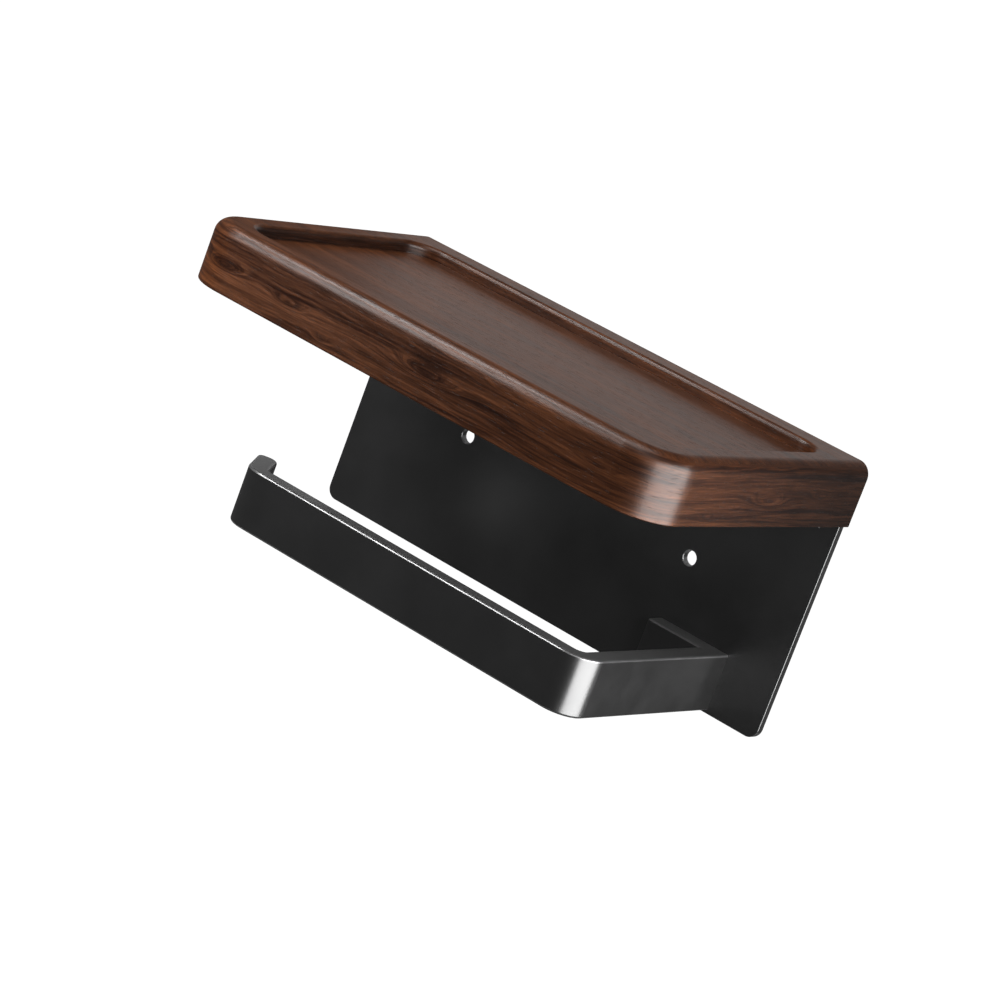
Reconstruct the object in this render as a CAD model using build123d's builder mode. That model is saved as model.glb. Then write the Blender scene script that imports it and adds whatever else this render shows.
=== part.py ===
"""Toilet paper holder: a walnut tray shelf on a folded steel wall bracket, with a flat-bar roll arm.

Frame: +X to the right, +Y into the wall, +Z up. The wall face of the bracket is Y = 0.
The origin is the middle of the line between the two wall holes, on the wall face.
"""
import os
from math import cos, radians, sin, tan

from build123d import *

os.makedirs("parts", exist_ok=True)

# ---- driving dimensions, mm ------------------------------------------------------------
# shelf
SHELF_W = 220.0          # along the wall
SHELF_D = 133.0          # front to back
SHELF_T = 24.0
SHELF_CORNER_R = 19.5    # two front corners, seen from above
SHELF_TOP_R = 5.4        # round-over of the left, front and right top edges
SHELF_EDGE_R = 0.5       # eased bottom edges
SHELF_GAP = 1.0          # back of the shelf clear of the wall
TRAY_RIM = 10.5          # rim width on all four sides, to the start of the round-over
TRAY_EDGE_R = 2.0        # round-over from the rim down into the tray
TRAY_CORNER_R = 12.0     # inner corners of the tray wall
TRAY_DEPTH = 4.5

# bracket
SHEET_T = 3.0
PLATE_W = 215.4
PLATE_H = 86.0           # below the shelf
PLATE_CORNER_R = 4.5
PLATE_EDGE_R = 0.25
HOLE_DROP = 37.5         # wall holes below the shelf
HOLE_SPACING = 110.0
HOLE_D = 5.6
HOLE_EASE = 0.5          # broken front edge of each wall hole
FLANGE_W = 196.0
FLANGE_D = 62.0
FLANGE_CORNER_R = 8.0
BEND_R = 1.5             # inside radius of the fold
RELIEF_W = 2.5           # bend relief at each end of the fold
RELIEF_H = 4.6

# roll arm
BAR_T = 8.0
BAR_H = 22.4
BAR_EDGE_R = 1.0
BAR_TOP_DROP = 62.5      # top of the bar below the shelf
BAR_REACH = 95.3         # front face of the bar to the wall
ARM_X = 85.0             # outer face of the arm
FOOT_L = 32.5            # foot along the wall, over the arm
BEND_OUT_R = 11.0        # outside radius of both bends
BEND_IN_R = 3.0
HOOK_CORNER_X = -80.0    # where the front face and the hook's outer face would meet
HOOK_LEAN = 30.0         # hook's angle off the Y axis, degrees
HOOK_L = 24.3            # along the hook's outer face
HOOK_TIP_OUT_R = 2.5
HOOK_TIP_IN_R = 4.0

# screws
SHELF_SCREW_X = (-80.0, 80.0)
SHELF_SCREW_Y = (-17.0, -50.0)
SHELF_SCREW_D = 4.0
SHELF_SCREW_L = 16.0
SHELF_SCREW_POINT = 4.0  # length of the pointed end
SHELF_SCREW_CLEAR_D = 4.8
PILOT_BEYOND = 0.5       # pilot hole past the screw's point
PAN_HEAD_D = 8.0
PAN_HEAD_H = 2.6
PAN_HEAD_EASE = 0.3      # how far the dome stands in from the head's rim, half way down
ARM_SCREW_X = (60.0, 74.0)
ARM_SCREW_D = 4.0
ARM_SCREW_L = 8.0
ARM_SCREW_CHAMFER = 0.4
ARM_SCREW_CLEAR_D = 4.4
CSK_HEAD_D = 7.6
CSK_SINK = 0.1           # head below the wall face
ARM_SCREW_BOTTOM = 0.8   # tapped hole beyond the screw's end
RECESS_L = 4.2           # cross recess, both screws
RECESS_W = 0.9
RECESS_DEPTH = 1.6
RECESS_TAPER = 12

# ---- derived -----------------------------------------------------------------------------
SHELF_Z0 = HOLE_DROP
SHELF_Z1 = SHELF_Z0 + SHELF_T
PLATE_Z0 = SHELF_Z0 - PLATE_H
BAR_Z1 = SHELF_Z0 - BAR_TOP_DROP
BAR_Z0 = BAR_Z1 - BAR_H
BAR_ZC = (BAR_Z0 + BAR_Z1) / 2
ARM_IN_X = ARM_X - BAR_T
BAR_BACK_Y = -(BAR_REACH - BAR_T)
FOOT_FRONT_Y = -(SHEET_T + BAR_T)
FOOT_X = ARM_X - FOOT_L
TRAY_W = SHELF_W - 2 * (TRAY_RIM + TRAY_EDGE_R)
TRAY_D = SHELF_D - 2 * (TRAY_RIM + TRAY_EDGE_R)
BACK_Y = -SHELF_GAP
FRONT_Y = BACK_Y - SHELF_D
MID_Y = (BACK_Y + FRONT_Y) / 2


def on_z(z, tol=0.01):
    """Edges lying wholly at height z."""
    return lambda e: abs(e.bounding_box().min.Z - z) < tol and abs(e.bounding_box().max.Z - z) < tol


# ---- shelf: one piece of walnut ----------------------------------------------------------
with BuildPart() as wood_shelf:
    with BuildSketch(Plane.XY.offset(SHELF_Z0)):
        with Locations((0, MID_Y)):
            Rectangle(SHELF_W, SHELF_D)
        fillet([v for v in vertices() if v.Y < FRONT_Y + 1], SHELF_CORNER_R)
    extrude(amount=SHELF_T)
    # round-over on three sides; the wall side stays square
    top = [e for e in wood_shelf.edges().filter_by(on_z(SHELF_Z1)) if e.center().Y < BACK_Y - 1]
    fillet(top, SHELF_TOP_R)
    low = [e for e in wood_shelf.edges().filter_by(on_z(SHELF_Z0)) if e.center().Y < BACK_Y - 1]
    fillet(low, SHELF_EDGE_R)
    # tray
    with BuildSketch(Plane.XY.offset(SHELF_Z1)):
        with Locations((0, MID_Y)):
            RectangleRounded(TRAY_W, TRAY_D, TRAY_CORNER_R)
    extrude(amount=-TRAY_DEPTH, mode=Mode.SUBTRACT)
    inner = [e for e in wood_shelf.edges().filter_by(on_z(SHELF_Z1))
             if e.bounding_box().max.Y < BACK_Y - TRAY_RIM and e.bounding_box().min.Y > FRONT_Y + TRAY_RIM
             and abs(e.center().X) < SHELF_W / 2 - TRAY_RIM]
    fillet(inner, TRAY_EDGE_R)
    # screw holes in the underside
    with BuildSketch(Plane.XY.offset(SHELF_Z0)):
        with Locations([(x, y) for x in SHELF_SCREW_X for y in SHELF_SCREW_Y]):
            Circle(SHELF_SCREW_D / 2)
    extrude(amount=SHELF_SCREW_L - SHEET_T + PILOT_BEYOND, mode=Mode.SUBTRACT)
wood_shelf.part.label = "wood_shelf"
export_step(wood_shelf.part, "parts/wood_shelf.step")

# ---- bracket: one folded steel sheet -----------------------------------------------------
with BuildPart() as wall_plate:
    # upright sheet, with its two lower corners rounded
    with BuildSketch(Plane.XZ):
        with Locations((0, (SHELF_Z0 + PLATE_Z0) / 2)):
            Rectangle(PLATE_W, PLATE_H)
        fillet([v for v in vertices() if v.Y < PLATE_Z0 + 1], PLATE_CORNER_R)
    extrude(amount=SHEET_T)
    # flange under the shelf
    with BuildSketch(Plane.XY.offset(SHELF_Z0 - SHEET_T)):
        with Locations((0, -FLANGE_D / 2)):
            Rectangle(FLANGE_W, FLANGE_D)
        fillet([v for v in vertices() if v.Y < -FLANGE_D + 1], FLANGE_CORNER_R)
    extrude(amount=SHEET_T)
    # bend relief at each end of the fold
    with BuildSketch(Plane.XZ):
        with Locations([(s * (FLANGE_W + RELIEF_W) / 2, SHELF_Z0) for s in (-1, 1)]):
            Rectangle(RELIEF_W, 2 * RELIEF_H)
    extrude(amount=SHEET_T, mode=Mode.SUBTRACT)
    # the fold itself
    inside = [e for e in wall_plate.edges().filter_by(Axis.X)
              if abs(e.center().Y + SHEET_T) < 0.01 and abs(e.center().Z - SHELF_Z0 + SHEET_T) < 0.01]
    fillet(inside, BEND_R)
    outside = [e for e in wall_plate.edges().filter_by(Axis.X)
               if abs(e.center().Y) < 0.01 and abs(e.center().Z - SHELF_Z0) < 0.01
               and abs(e.center().X) < 1]
    fillet(outside, BEND_R + SHEET_T)
    # eased front rim of the upright sheet
    rim = [e for e in wall_plate.edges()
           if abs(e.bounding_box().min.Y + SHEET_T) < 0.01 and abs(e.bounding_box().max.Y + SHEET_T) < 0.01
           and (e.center().Z < PLATE_Z0 + PLATE_CORNER_R or abs(e.center().X) > PLATE_W / 2 - 0.1)]
    fillet(rim, PLATE_EDGE_R)
    # wall holes, front edge broken
    with BuildSketch(Plane.XZ):
        with Locations([(s * HOLE_SPACING / 2, 0) for s in (-1, 1)]):
            Circle(HOLE_D / 2)
    extrude(amount=SHEET_T, mode=Mode.SUBTRACT)
    hole_rims = [e for e in wall_plate.edges().filter_by(GeomType.CIRCLE)
                 if abs(e.arc_center.Y + SHEET_T) < 0.01 and abs(e.arc_center.Z) < 0.1
                 and abs(abs(e.arc_center.X) - HOLE_SPACING / 2) < 0.1]
    fillet(hole_rims, HOLE_EASE)
    # countersunk holes for the arm screws, sunk from the wall side
    with Locations([Pos(x, 0, BAR_ZC) * Rot(90, 0, 0) for x in ARM_SCREW_X]):
        with Locations(Rot(180, 0, 0)):
            CounterSinkHole(ARM_SCREW_CLEAR_D / 2, CSK_HEAD_D / 2 + CSK_SINK, SHEET_T)
    # clearance holes for the shelf screws
    with BuildSketch(Plane.XY.offset(SHELF_Z0 - SHEET_T)):
        with Locations([(x, y) for x in SHELF_SCREW_X for y in SHELF_SCREW_Y]):
            Circle(SHELF_SCREW_CLEAR_D / 2)
    extrude(amount=SHEET_T, mode=Mode.SUBTRACT)
wall_plate.part.label = "wall_plate"
export_step(wall_plate.part, "parts/wall_plate.step")

# ---- roll arm: one flat bar, bent three times ----------------------------------------------
LEAN = radians(HOOK_LEAN)
TIP_OUT = (HOOK_CORNER_X - HOOK_L * sin(LEAN), -BAR_REACH + HOOK_L * cos(LEAN))
TIP_IN = (TIP_OUT[0] + BAR_T * cos(LEAN), TIP_OUT[1] + BAR_T * sin(LEAN))
HOOK_IN_X = HOOK_CORNER_X + BAR_T * tan(radians(45 - HOOK_LEAN / 2))
OUTLINE = [
    (FOOT_X, -SHEET_T),
    (ARM_X, -SHEET_T),
    (ARM_X, -BAR_REACH),
    (HOOK_CORNER_X, -BAR_REACH),
    TIP_OUT,
    TIP_IN,
    (HOOK_IN_X, BAR_BACK_Y),
    (ARM_IN_X, BAR_BACK_Y),
    (ARM_IN_X, FOOT_FRONT_Y),
    (FOOT_X, FOOT_FRONT_Y),
]


def corner_at(point):
    """The sketch vertex at a plan point."""
    return [v for v in vertices() if abs(v.X - point[0]) < 0.05 and abs(v.Y - point[1]) < 0.05]


with BuildPart() as roll_arm:
    with BuildSketch(Plane.XY.offset(BAR_Z0)):
        with BuildLine():
            Polyline(*OUTLINE, close=True)
        make_face()
        fillet(corner_at(OUTLINE[2]), BEND_OUT_R)
        fillet(corner_at(OUTLINE[3]), BEND_OUT_R)
        fillet(corner_at(OUTLINE[4]), HOOK_TIP_OUT_R)
        fillet(corner_at(OUTLINE[5]), HOOK_TIP_IN_R)
        fillet(corner_at(OUTLINE[6]), BEND_IN_R)
        fillet(corner_at(OUTLINE[7]), BEND_IN_R)
        fillet(corner_at(OUTLINE[9]), BAR_EDGE_R)
    extrude(amount=BAR_H)
    # eased long edges, except where the foot lies on the bracket
    rims = [e for e in roll_arm.edges()
            if (on_z(BAR_Z0)(e) or on_z(BAR_Z1)(e)) and e.center().Y < -SHEET_T - 0.1]
    fillet(rims, BAR_EDGE_R)
    # tapped holes in the back of the foot
    with BuildSketch(Plane.XZ.offset(SHEET_T)):
        with Locations([(x, BAR_ZC) for x in ARM_SCREW_X]):
            Circle(ARM_SCREW_D / 2)
    extrude(amount=ARM_SCREW_L - SHEET_T + ARM_SCREW_BOTTOM, mode=Mode.SUBTRACT)
roll_arm.part.label = "roll_arm"
export_step(roll_arm.part, "parts/roll_arm.step")

# ---- shelf screws: pan head, pointed, driven up through the flange -------------------------
SCREW_NO = 0
for screw_x in SHELF_SCREW_X:
    for screw_y in SHELF_SCREW_Y:
        SCREW_NO += 1
        seat_z = SHELF_Z0 - SHEET_T
        with BuildPart() as shelf_screw:
            with BuildSketch(Plane.XZ.offset(-screw_y)):
                with BuildLine():
                    Polyline(
                        (screw_x, seat_z - PAN_HEAD_H),
                        (screw_x + PAN_HEAD_D / 4, seat_z - PAN_HEAD_H),
                        (screw_x + PAN_HEAD_D / 2 - PAN_HEAD_EASE, seat_z - PAN_HEAD_H / 2),
                        (screw_x + PAN_HEAD_D / 2, seat_z - PAN_HEAD_H / 3),
                        (screw_x + PAN_HEAD_D / 2, seat_z),
                        (screw_x + SHELF_SCREW_D / 2, seat_z),
                        (screw_x + SHELF_SCREW_D / 2, seat_z + SHELF_SCREW_L - SHELF_SCREW_POINT),
                        (screw_x, seat_z + SHELF_SCREW_L),
                        close=True,
                    )
                make_face()
            revolve(axis=Axis((screw_x, screw_y, 0), (0, 0, 1)))
            # cross recess
            with BuildSketch(Plane.XY.offset(seat_z - PAN_HEAD_H)):
                with Locations((screw_x, screw_y)):
                    Rectangle(RECESS_L, RECESS_W)
                    Rectangle(RECESS_W, RECESS_L)
            extrude(amount=RECESS_DEPTH, taper=RECESS_TAPER, mode=Mode.SUBTRACT)
        shelf_screw.part.label = f"shelf_screw_{SCREW_NO}"
        export_step(shelf_screw.part, f"parts/shelf_screw_{SCREW_NO}.step")

# ---- arm screws: countersunk, from the wall side into the foot -----------------------------
for number, screw_x in enumerate(ARM_SCREW_X, 1):
    cone = (CSK_HEAD_D - ARM_SCREW_D) / 2
    with BuildPart() as arm_screw:
        with BuildSketch(Plane.XY.offset(BAR_ZC)):
            with BuildLine():
                Polyline(
                    (screw_x, -CSK_SINK),
                    (screw_x + CSK_HEAD_D / 2, -CSK_SINK),
                    (screw_x + ARM_SCREW_D / 2, -CSK_SINK - cone),
                    (screw_x + ARM_SCREW_D / 2, -ARM_SCREW_L + ARM_SCREW_CHAMFER),
                    (screw_x + ARM_SCREW_D / 2 - ARM_SCREW_CHAMFER, -ARM_SCREW_L),
                    (screw_x, -ARM_SCREW_L),
                    close=True,
                )
            make_face()
        revolve(axis=Axis((screw_x, 0, BAR_ZC), (0, 1, 0)))
        # cross recess
        with BuildSketch(Plane.XZ.offset(CSK_SINK)):
            with Locations((screw_x, BAR_ZC)):
                Rectangle(RECESS_L, RECESS_W)
                Rectangle(RECESS_W, RECESS_L)
        extrude(amount=RECESS_DEPTH, taper=RECESS_TAPER, mode=Mode.SUBTRACT)
    arm_screw.part.label = f"arm_screw_{number}"
    export_step(arm_screw.part, f"parts/arm_screw_{number}.step")
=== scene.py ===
"""Toilet paper holder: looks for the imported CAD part, a studio and the camera.

Everything is in metres, in the CAD frame: +X to the right, +Y into the wall, +Z up.
"""
from math import cos, radians, sin

import bpy
from mathutils import Matrix, Vector


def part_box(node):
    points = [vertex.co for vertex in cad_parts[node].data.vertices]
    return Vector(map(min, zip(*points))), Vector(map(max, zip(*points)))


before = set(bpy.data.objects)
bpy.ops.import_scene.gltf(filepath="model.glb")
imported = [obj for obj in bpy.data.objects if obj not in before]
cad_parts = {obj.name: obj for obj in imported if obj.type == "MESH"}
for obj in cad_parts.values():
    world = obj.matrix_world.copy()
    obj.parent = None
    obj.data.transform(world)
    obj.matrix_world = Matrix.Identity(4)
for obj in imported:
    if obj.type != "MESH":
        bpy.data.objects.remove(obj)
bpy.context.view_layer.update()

SHELF_LO, SHELF_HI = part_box("wood_shelf")
PLATE_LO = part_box("wall_plate")[0]

# walnut colours, linear; the tone runs from dark (0) to light (1)
WOOD_DARK = (0.022, 0.0055, 0.0018, 1)
WOOD_LIGHT = (0.190, 0.064, 0.023, 1)
WOOD_LINE = (0.014, 0.004, 0.002, 1)
WOOD_PORE = (0.010, 0.003, 0.002, 1)
WOOD_TONE = 0.36             # middle of the tone
WOOD_SPECULAR = 0.36
WOOD_SMOOTHEST = 0.285       # roughness of the smoothest and the roughest fibres
WOOD_ROUGHEST = 0.41
FRONT_CONTRAST = 1.25        # of the tone, on standing faces and on faces that look up
TOP_CONTRAST = 0.70
TOP_LINES = 0.25             # strength of the dark lines on faces that look up

# grain noises: cells per metre along the grain, across it and up
SLOW_BEND = (9.0, 14.0, 45.0)
QUICK_BEND = (55.0, 120.0, 300.0)
FIBRES = (75.0, 1500.0, 1500.0)
STREAKS = (15.0, 240.0, 330.0)
PORES = (210.0, 2400.0, 2400.0)
DRIFT = (10.0, 17.0, 35.0)
# growth lines: cells per metre along the grain, cells per metre of growth, and a seed
FINE_LINES = (7.0, 1500.0, 0.0)
BANDS = (5.0, 330.0, 3.7)
VEINS = (14.0, 800.0, 9.1)
# metres of growth for one metre up or across, and for the two bends from end to end
GROWTH_UP = 0.60
GROWTH_ACROSS = 0.45
SLOW_BEND_BY = 0.008
QUICK_BEND_BY = 0.0013
# shares of the tone
FINE_LINES_SHARE = 0.40
BANDS_SHARE = 0.22
STREAKS_SHARE = 0.28
DRIFT_SHARE = 0.10
MID_LOW, MID_HIGH = 0.30, 0.70   # the part of a noise's range that holds most of it

VEIN_DEPTH = 0.60            # how dark the veins and the hearts of the knots are
HEART_DEPTH = 0.50
PORE_DEPTH = 0.5
FIBRE_DARK, FIBRE_LIGHT = 0.52, 1.48
FIBRE_RELIEF = 0.00008       # metres
FIBRE_RELIEF_STRENGTH = 0.6

# black paint over steel, linear
PAINT_DARK = (0.018, 0.018, 0.0183, 1)
PAINT_LIGHT = (0.025, 0.025, 0.0254, 1)
# painted light: the paler grey that faces looking up are lifted towards, in place of light from the
# lamps
PAINTED_TOP_LIGHT = (0.16, 0.16, 0.161, 1)
BARE_STEEL = (0.60, 0.60, 0.605, 1)
PAINT_IOR = 1.95
CLOUD_SCALE = 30.0           # cells per metre
PEEL_SCALE = 140.0
RUB_SCALE = 90.0
LEAST_RUB, MOST_RUB = 0.65, 0.85
CLOUD_ROUGH = 0.015          # roughness swing either way
PEEL_ROUGH = 0.01
PEEL_RELIEF = 0.00001        # metres
PEEL_RELIEF_STRENGTH = 0.2
SHEET_ROUGH = 0.31
BAR_ROUGH = 0.305


# ---- node helpers --------------------------------------------------------------------------
class Nodes:
    """A short way to write a material's node tree."""

    def __init__(self, name):
        self.material = bpy.data.materials.new(name)
        self.material.use_nodes = True
        self.tree = self.material.node_tree
        self.tree.nodes.clear()
        self.output = self.add("ShaderNodeOutputMaterial")
        self.shader = self.add("ShaderNodeBsdfPrincipled")
        self.link(self.shader.outputs["BSDF"], self.output.inputs["Surface"])

    def add(self, kind, **settings):
        node = self.tree.nodes.new(kind)
        for key, value in settings.items():
            setattr(node, key, value)
        return node

    def link(self, source, target):
        self.tree.links.new(source, target)

    def put(self, value, socket):
        """Sets a socket to a number or colour, or links it to another socket."""
        if isinstance(value, bpy.types.NodeSocket):
            self.link(value, socket)
        else:
            socket.default_value = value

    def math(self, operation, a, b=0.0, clamp=False):
        node = self.add("ShaderNodeMath", operation=operation, use_clamp=clamp)
        for value, socket in zip((a, b), node.inputs):
            self.put(value, socket)
        return node.outputs[0]

    def stretch(self, vector, by):
        """A vector multiplied by three numbers."""
        node = self.add("ShaderNodeVectorMath", operation="MULTIPLY")
        self.put(vector, node.inputs[0])
        self.put(by, node.inputs[1])
        return node.outputs[0]

    def combine(self, x, y, z):
        node = self.add("ShaderNodeCombineXYZ")
        for value, socket in zip((x, y, z), node.inputs):
            self.put(value, socket)
        return node.outputs[0]

    def split(self, vector):
        node = self.add("ShaderNodeSeparateXYZ")
        self.link(vector, node.inputs[0])
        return node.outputs

    def noise(self, vector, scale, detail=2.0, rough=0.5):
        """Noise from 0 to 1; scale is in cells per unit of the vector."""
        node = self.add("ShaderNodeTexNoise", noise_dimensions="3D")
        self.put(vector, node.inputs["Vector"])
        self.put(scale, node.inputs["Scale"])
        self.put(detail, node.inputs["Detail"])
        self.put(rough, node.inputs["Roughness"])
        return node.outputs["Fac"]

    def ramp(self, value, low, high, out_low=0.0, out_high=1.0, smooth=True):
        """Takes low..high to out_low..out_high and holds the ends."""
        node = self.add("ShaderNodeMapRange")
        node.interpolation_type = "SMOOTHSTEP" if smooth else "LINEAR"
        for item, key in ((value, "Value"), (low, "From Min"), (high, "From Max"),
                          (out_low, "To Min"), (out_high, "To Max")):
            self.put(item, node.inputs[key])
        return node.outputs["Result"]

    def mix(self, factor, a, b, blend="MIX"):
        node = self.add("ShaderNodeMix", data_type="RGBA", blend_type=blend)
        self.put(factor, node.inputs[0])
        self.put(a, node.inputs[6])
        self.put(b, node.inputs[7])
        return node.outputs[2]

    def bump(self, height, distance, strength):
        node = self.add("ShaderNodeBump")
        self.put(height, node.inputs["Height"])
        self.put(distance, node.inputs["Distance"])
        self.put(strength, node.inputs["Strength"])
        return node.outputs["Normal"]

    def place(self):
        """The point on the surface, in the CAD frame, in metres."""
        return self.add("ShaderNodeTexCoord").outputs["Object"]

    def normal(self):
        """The surface's own normal, before any bump."""
        return self.add("ShaderNodeNewGeometry").outputs["Normal"]


# ---- walnut --------------------------------------------------------------------------------
# knots on the standing faces, in metres: place round the shelf from the middle of the front,
# height from the middle of the shelf, half length, half height, and the push on the growth lines
KNOTS = (
    (0.007, -0.0018, 0.0133, 0.00266, 0.00360),
    (-0.058, -0.0030, 0.0084, 0.00210, 0.00240),
    (-0.091, -0.0016, 0.0105, 0.00252, 0.00330),
    (-0.039, -0.0085, 0.0042, 0.00154, 0.00180),
    (0.085, -0.0010, 0.0091, 0.00168, 0.00240),
    (0.047, 0.0062, 0.0112, 0.00140, 0.00180),
    (0.174, -0.0022, 0.0119, 0.00266, 0.00348),
    (0.138, -0.0088, 0.0049, 0.00140, 0.00180),
    (0.208, -0.0005, 0.0091, 0.00182, 0.00240),
    (-0.165, -0.0020, 0.0126, 0.00252, 0.00330),
)
CORNER_R = 0.0195            # the shelf's two front corners, and where they begin
CORNER_X = SHELF_HI.x - CORNER_R
CORNER_Y = SHELF_LO.y + CORNER_R


def way_round(n, x, y, sideways):
    """Distance round the shelf's edge from the middle of its front, negative to the left."""
    reach = n.math("ABSOLUTE", x)
    beyond = n.math("MAXIMUM", n.math("SUBTRACT", reach, CORNER_X), 0.0)
    ahead = n.math("MAXIMUM", n.math("SUBTRACT", CORNER_Y, y), 0.0)
    behind = n.math("MAXIMUM", n.math("SUBTRACT", y, CORNER_Y), 0.0)
    turn = n.math("MULTIPLY", n.math("ARCTAN2", beyond, ahead), CORNER_R)
    turn = n.math("MULTIPLY", turn, n.math("MAXIMUM", sideways, n.math("LESS_THAN", y, CORNER_Y)))
    way = n.math("ADD", n.math("MINIMUM", reach, CORNER_X), turn)
    way = n.math("ADD", way, n.math("MULTIPLY", behind, sideways))
    return n.math("MULTIPLY", way, n.math("SIGN", x))


def knots(n, along, height, standing):
    """How far the knots push the growth lines, and how near a point is to the heart of a knot."""
    pushed, heart = 0.0, 0.0
    for knot_along, knot_height, half_length, half_height, push in KNOTS:
        du = n.math("DIVIDE", n.math("SUBTRACT", along, knot_along), half_length)
        dv = n.math("DIVIDE", n.math("SUBTRACT", height, knot_height), half_height)
        square = n.math("ADD", n.math("MULTIPLY", du, du), n.math("MULTIPLY", dv, dv))
        bell = n.math("EXPONENT", n.math("MULTIPLY", square, -1.0))
        bell = n.math("MULTIPLY", bell, standing)
        pushed = n.math("ADD", pushed, n.math("MULTIPLY", bell, push))
        heart = n.math("MAXIMUM", heart, bell)
    return pushed, heart


def growth_noise(n, along, growth, kind, detail, rough):
    """Noise drawn out along the growth lines."""
    along_scale, growth_scale, seed = kind
    place = n.combine(n.math("MULTIPLY", along, along_scale),
                      n.math("MULTIPLY", growth, growth_scale), seed)
    return n.noise(place, 1.0, detail, rough)


def walnut():
    """Oiled walnut: grain runs round the standing faces, and along X on the level ones."""
    n = Nodes("walnut_oiled")
    x, y, z = n.split(n.place())
    normal_x, _, normal_z = n.split(n.normal())
    level_face = n.ramp(n.math("ABSOLUTE", normal_z), 0.66, 0.76)
    standing = n.math("SUBTRACT", 1.0, level_face)
    upward = n.ramp(normal_z, 0.55, 0.95)
    sideways = n.math("GREATER_THAN", n.math("ABSOLUTE", normal_x), 0.5)

    # the grain's own axes
    round_way = way_round(n, x, y, sideways)
    along = n.math("ADD", n.math("MULTIPLY", round_way, standing), n.math("MULTIPLY", x, level_face))
    across = n.math("MULTIPLY", n.math("SUBTRACT", y, SHELF_LO.y), level_face)
    height = n.math("SUBTRACT", z, (SHELF_LO.z + SHELF_HI.z) / 2)
    grain = n.combine(along, across, z)

    # growth lines: level sets of the height, bent by slow noise and pushed aside by the knots
    pushed, heart = knots(n, along, height, standing)
    slow = n.noise(n.stretch(grain, SLOW_BEND), 1.0, 2.0, 0.5)
    quick = n.noise(n.stretch(grain, QUICK_BEND), 1.0, 2.0, 0.6)
    growth = n.math("ADD", n.math("MULTIPLY", height, GROWTH_UP), pushed)
    for part, metres in ((slow, SLOW_BEND_BY), (quick, QUICK_BEND_BY), (across, GROWTH_ACROSS)):
        growth = n.math("ADD", growth, n.math("MULTIPLY", part, metres))
    lines = growth_noise(n, along, growth, FINE_LINES, 3.0, 0.65)
    bands = growth_noise(n, along, growth, BANDS, 2.0, 0.5)
    veins = growth_noise(n, along, growth, VEINS, 2.0, 0.55)

    # straight fibres, broader streaks, short dark pores, slow colour drift
    fibre = n.noise(n.stretch(grain, FIBRES), 1.0, 3.0, 0.6)
    streak = n.noise(n.stretch(grain, STREAKS), 1.0, 3.0, 0.6)
    pore = n.ramp(n.noise(n.stretch(grain, PORES), 1.0, 1.0), 0.62, 0.74)
    drift = n.noise(n.stretch(grain, DRIFT), 1.0, 2.0, 0.5)

    # light and dark wood
    tone = n.math("MULTIPLY", n.ramp(lines, MID_LOW, MID_HIGH), FINE_LINES_SHARE)
    for part, share in ((bands, BANDS_SHARE), (streak, STREAKS_SHARE), (drift, DRIFT_SHARE)):
        tone = n.math("ADD", tone, n.math("MULTIPLY", n.ramp(part, MID_LOW, MID_HIGH), share))
    contrast = n.ramp(upward, 0.0, 1.0, FRONT_CONTRAST, TOP_CONTRAST, smooth=False)
    tone = n.math("MULTIPLY", n.math("SUBTRACT", tone, 0.5), contrast)
    tone = n.math("ADD", tone, WOOD_TONE, clamp=True)
    colour = n.mix(tone, WOOD_DARK, WOOD_LIGHT)

    # dark veins and knot hearts, fibres, pores
    vein_line = n.math("MULTIPLY", n.ramp(veins, 0.58, 0.70), VEIN_DEPTH)
    heart_line = n.math("MULTIPLY", n.ramp(heart, 0.86, 1.0), HEART_DEPTH)
    dark_line = n.math("MAXIMUM", vein_line, heart_line)
    dark_line = n.math("MULTIPLY", dark_line, n.ramp(upward, 0.0, 1.0, 1.0, TOP_LINES, smooth=False))
    colour = n.mix(dark_line, colour, WOOD_LINE)
    shade = n.ramp(fibre, MID_LOW, MID_HIGH, FIBRE_DARK, FIBRE_LIGHT, smooth=False)
    colour = n.mix(1.0, colour, n.combine(shade, shade, shade), "MULTIPLY")
    colour = n.mix(n.math("MULTIPLY", pore, PORE_DEPTH), colour, WOOD_PORE)
    n.link(colour, n.shader.inputs["Base Color"])

    coarse = n.math("ADD", fibre, n.math("MULTIPLY", pore, 0.3))
    rough = n.ramp(coarse, 0.3, 1.0, WOOD_SMOOTHEST, WOOD_ROUGHEST, smooth=False)
    n.link(rough, n.shader.inputs["Roughness"])
    relief = n.math("SUBTRACT", n.math("MULTIPLY", fibre, 0.6), pore)
    n.link(n.bump(relief, FIBRE_RELIEF, FIBRE_RELIEF_STRENGTH), n.shader.inputs["Normal"])
    n.shader.inputs["Specular IOR Level"].default_value = WOOD_SPECULAR
    return n.material


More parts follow.
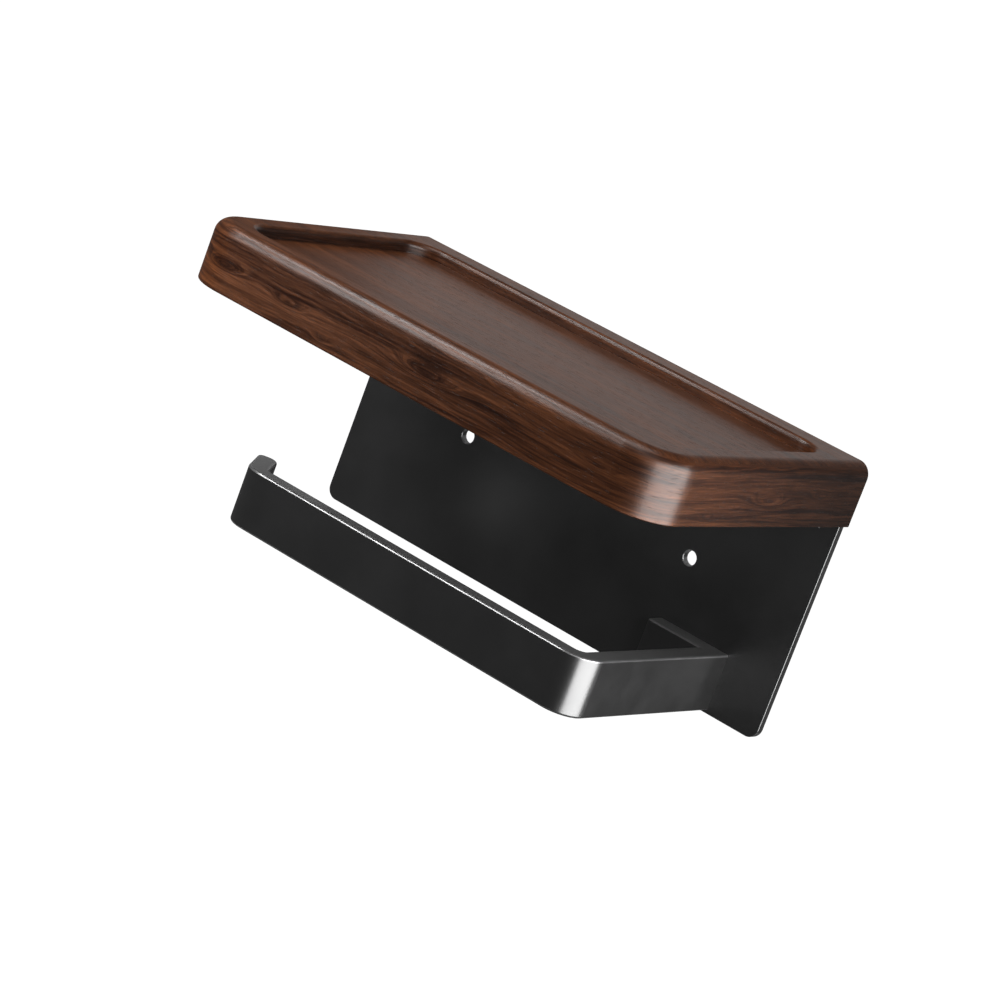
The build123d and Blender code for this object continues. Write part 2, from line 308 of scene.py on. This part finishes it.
# ---- black metal ---------------------------------------------------------------------------
def satin_black(name, roughness):
    """Satin black paint: faint clouds, orange peel, painted light on the tops and, by assumption,
    bare edges.
    """
    n = Nodes(name)
    place = n.place()
    normal_z = n.split(n.normal())[2]
    cloud = n.ramp(n.noise(place, CLOUD_SCALE, 3.0, 0.55), MID_LOW, MID_HIGH)
    peel = n.noise(place, PEEL_SCALE)
    rub = n.ramp(n.noise(place, RUB_SCALE), 0.35, 0.65)
    colour = n.mix(cloud, PAINT_DARK, PAINT_LIGHT)
    # painted light: faces that look up are made paler, to give them a brightness that the lamps here
    # don't
    colour = n.mix(n.ramp(normal_z, 0.80, 0.97), colour, PAINTED_TOP_LIGHT)
    # the rounded long edges are neither level nor upright
    slant = n.math("ABSOLUTE", normal_z)
    edge = n.math("MULTIPLY", n.ramp(slant, 0.15, 0.45), n.ramp(slant, 0.97, 0.85))
    bare = n.math("MULTIPLY", edge, n.ramp(rub, 0.0, 1.0, LEAST_RUB, MOST_RUB))
    colour = n.mix(bare, colour, BARE_STEEL)
    n.link(colour, n.shader.inputs["Base Color"])
    n.link(bare, n.shader.inputs["Metallic"])
    rough = n.math("ADD", n.ramp(cloud, 0.0, 1.0, -CLOUD_ROUGH, CLOUD_ROUGH), roughness)
    rough = n.math("ADD", rough, n.ramp(peel, MID_LOW, MID_HIGH, -PEEL_ROUGH, PEEL_ROUGH))
    n.link(rough, n.shader.inputs["Roughness"])
    n.link(n.bump(peel, PEEL_RELIEF, PEEL_RELIEF_STRENGTH), n.shader.inputs["Normal"])
    n.shader.inputs["IOR"].default_value = PAINT_IOR
    return n.material


def dress(node, material):
    """Puts one material in every material slot of a CAD node."""
    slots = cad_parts[node].material_slots
    if not slots:
        raise RuntimeError("no material slot on " + node)
    for slot in slots:
        slot.material = material


dress("wood_shelf", walnut())
dress("wall_plate", satin_black("black_bracket", SHEET_ROUGH))
dress("roll_arm", satin_black("black_bar", BAR_ROUGH))
screw_black = satin_black("black_screws", SHEET_ROUGH)
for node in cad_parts:
    if "screw" in node:
        dress(node, screw_black)


# ---- studio --------------------------------------------------------------------------------
WHITE = (1, 1, 1, 1)
FLOOR_DROP = 0.60            # floor below the bracket: too far to carry a shadow
FLOOR_HALF = 60.0            # half its width: its edge is never in view
FLOOR_DARK = (0.86, 0.86, 0.86, 1)
FLOOR_LIGHT = (0.88, 0.88, 0.88, 1)
FLOOR_GRAIN = 30.0           # cells per metre
FLOOR_ROUGH = 0.8
ROOM_GREY = 0.075            # brightness of the room that the object reflects


def square_floor(z, half, material):
    """A level square round the Z axis."""
    mesh = bpy.data.meshes.new("floor")
    corners = [(-half, -half, z), (half, -half, z), (half, half, z), (-half, half, z)]
    mesh.from_pydata(corners, [], [(0, 1, 2, 3)])
    mesh.materials.append(material)
    obj = bpy.data.objects.new("floor", mesh)
    bpy.context.scene.collection.objects.link(obj)
    return obj


def plain_white():
    n = Nodes("floor_white")
    colour = n.mix(n.noise(n.place(), FLOOR_GRAIN), FLOOR_DARK, FLOOR_LIGHT)
    n.link(colour, n.shader.inputs["Base Color"])
    n.shader.inputs["Roughness"].default_value = FLOOR_ROUGH
    n.shader.inputs["Emission Color"].default_value = WHITE
    n.shader.inputs["Emission Strength"].default_value = 1.0
    return n.material


def area_light(name, place, target, width, height, power):
    """A rectangular light at place, facing target; sizes in metres, power in watts."""
    light = bpy.data.lights.new(name, "AREA")
    light.shape = "RECTANGLE"
    light.size = width
    light.size_y = height
    light.energy = power
    obj = bpy.data.objects.new(name, light)
    obj.location = place
    obj.visible_camera = False
    obj.rotation_euler = (Vector(target) - Vector(place)).to_track_quat("-Z", "Y").to_euler()
    bpy.context.scene.collection.objects.link(obj)
    return obj


floor = square_floor(PLATE_LO.z - FLOOR_DROP, FLOOR_HALF, plain_white())
floor.visible_diffuse = False
floor.visible_glossy = False

# the camera sees white all round; the object is lit by a dim room and by softboxes
world = bpy.data.worlds.new("studio")
bpy.context.scene.world = world
world.use_nodes = True
world_nodes = world.node_tree.nodes
room = world_nodes["Background"]
room.inputs["Color"].default_value = WHITE
room.inputs["Strength"].default_value = ROOM_GREY
white = world_nodes.new("ShaderNodeBackground")
white.inputs["Color"].default_value = WHITE
seen = world_nodes.new("ShaderNodeLightPath")
choose = world_nodes.new("ShaderNodeMixShader")
links = world.node_tree.links
links.new(seen.outputs["Is Camera Ray"], choose.inputs[0])
links.new(room.outputs[0], choose.inputs[1])
links.new(white.outputs[0], choose.inputs[2])
links.new(choose.outputs[0], world_nodes["World Output"].inputs["Surface"])

# softboxes round the studio's centre: azimuth and elevation in degrees (0 faces the wall's front,
# 90 is to the right), then distance, width and height in metres, and watts
SOFTBOXES = {
    "right": (84, 0, 0.60, 0.80, 0.60, 14.0),
    "front_high": (30, 45, 0.80, 0.50, 0.40, 0.5),
    "front_left": (-40, 34, 0.55, 0.20, 0.22, 1.1),
    "left": (-66, 54, 0.60, 0.16, 0.16, 1.1),
    "top": (-20, 76, 0.70, 0.40, 0.40, 1.6),
    "back_low": (-168, 17, 0.70, 0.74, 0.22, 0.21),
}
SHINE_ONLY = ("right",)      # seen in reflections, but throws no light on matt colour
STUDIO_CENTRE = Vector((0, -0.06, 0.02))
for name, (azimuth, elevation, distance, width, height, power) in SOFTBOXES.items():
    turn, tilt = radians(azimuth), radians(elevation)
    direction = Vector((sin(turn) * cos(tilt), -cos(turn) * cos(tilt), sin(tilt)))
    place = STUDIO_CENTRE + direction * distance
    box = area_light(name, place, STUDIO_CENTRE, width, height, power)
    box.visible_diffuse = name not in SHINE_ONLY

# two small lamps close in, which fall off along the shelf's right end and its front;
# each is a place, a target, a side and watts
CLOSE_LAMPS = {
    "end_lamp": ((0.20, -0.13, 0.05), (0.110, -0.13, 0.05), 0.03, 0.11),
    "front_lamp": ((-0.16, -0.30, 0.06), (-0.10, -0.134, 0.05), 0.10, 0.22),
}
for name, (place, target, size, power) in CLOSE_LAMPS.items():
    area_light(name, place, target, size, size, power).visible_glossy = False

# ---- camera: a long lens, rolled to the right ----------------------------------------------
FORWARD = Vector((-0.528329, 0.816034, -0.234429))
CAMERA_UP = Vector((-0.414374, -0.006833, 0.910081))
CAMERA_PLACE = Vector((0.743013, -1.198268, 0.327389))
LENS_MM = 139.3
SENSOR_MM = 36.0
NEAREST = 0.01
camera_data = bpy.data.cameras.new("camera")
camera_data.lens = LENS_MM
camera_data.sensor_width = SENSOR_MM
camera_data.clip_start = NEAREST
camera = bpy.data.objects.new("camera", camera_data)
right = FORWARD.cross(CAMERA_UP).normalized()
up = right.cross(FORWARD).normalized()
camera.matrix_world = Matrix((
    (right.x, up.x, -FORWARD.x, CAMERA_PLACE.x),
    (right.y, up.y, -FORWARD.y, CAMERA_PLACE.y),
    (right.z, up.z, -FORWARD.z, CAMERA_PLACE.z),
    (0, 0, 0, 1)))
bpy.context.scene.collection.objects.link(camera)
bpy.context.scene.camera = camera
bpy.context.scene.view_settings.view_transform = "Standard"
